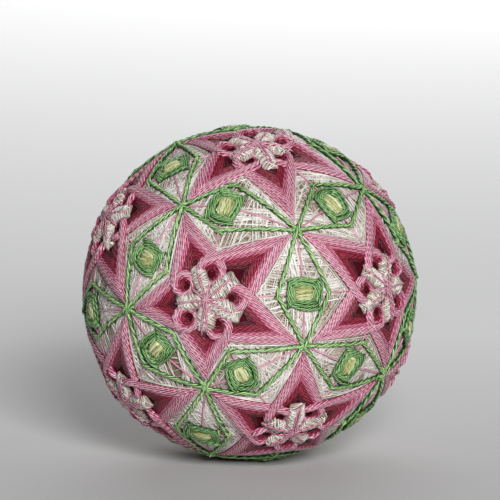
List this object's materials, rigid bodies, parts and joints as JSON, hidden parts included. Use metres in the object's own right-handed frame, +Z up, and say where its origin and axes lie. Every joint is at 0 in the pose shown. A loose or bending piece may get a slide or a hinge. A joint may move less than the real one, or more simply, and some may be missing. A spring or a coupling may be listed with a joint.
{
  "type": "temari ball",
  "caption": "Thread-wound ball embroidered with five-pointed stars, small flowers, green diamonds and squares.",
  "frame": {"origin": "on the surface under the ball's middle, at the bottom of the box", "axes": "+Z up, the ball at rest on its pressed stitches; the pictured side faces -Y, seen from 9 degrees above"},
  "size_m": [0.0757, 0.0769, 0.0753],
  "materials": {
    "wound_thread": "fine cream thread, wound and matt",
    "pink_thread": "twisted pearl cotton, pink and raspberry rows",
    "white_thread": "fine cream stitches with pink spokes",
    "green_thread": "two-ply twisted pearl cotton",
    "square_thread": "green rows round a pale yellow middle"
  },
  "bodies": {
    "root": {"thread_ball": "wound_thread", "star_01": "pink_thread", "star_02": "pink_thread", "star_03": "pink_thread", "star_04": "pink_thread", "star_05": "pink_thread", "star_06": "pink_thread", "star_07": "pink_thread", "star_08": "pink_thread", "star_09": "pink_thread", "star_10": "pink_thread", "star_11": "pink_thread", "star_12": "pink_thread", "flower_01": "white_thread", "flower_02": "white_thread", "flower_03": "white_thread", "flower_04": "white_thread", "flower_05": "white_thread", "flower_06": "white_thread", "flower_07": "white_thread", "flower_08": "white_thread", "flower_09": "white_thread", "flower_10": "white_thread", "flower_11": "white_thread", "flower_12": "white_thread", "diamond_lattice": "green_thread", "square_01": "square_thread", "square_02": "square_thread", "square_03": "square_thread", "square_04": "square_thread", "square_05": "square_thread", "square_06": "square_thread", "square_07": "square_thread", "square_08": "square_thread", "square_09": "square_thread", "square_10": "square_thread", "square_11": "square_thread", "square_12": "square_thread", "square_13": "square_thread", "square_14": "square_thread", "square_15": "square_thread", "square_16": "square_thread", "square_17": "square_thread", "square_18": "square_thread", "square_19": "square_thread", "square_20": "square_thread", "square_21": "square_thread", "square_22": "square_thread", "square_23": "square_thread", "square_24": "square_thread", "square_25": "square_thread", "square_26": "square_thread", "square_27": "square_thread", "square_28": "square_thread", "square_29": "square_thread", "square_30": "square_thread"}
  },
  "joints": []
}
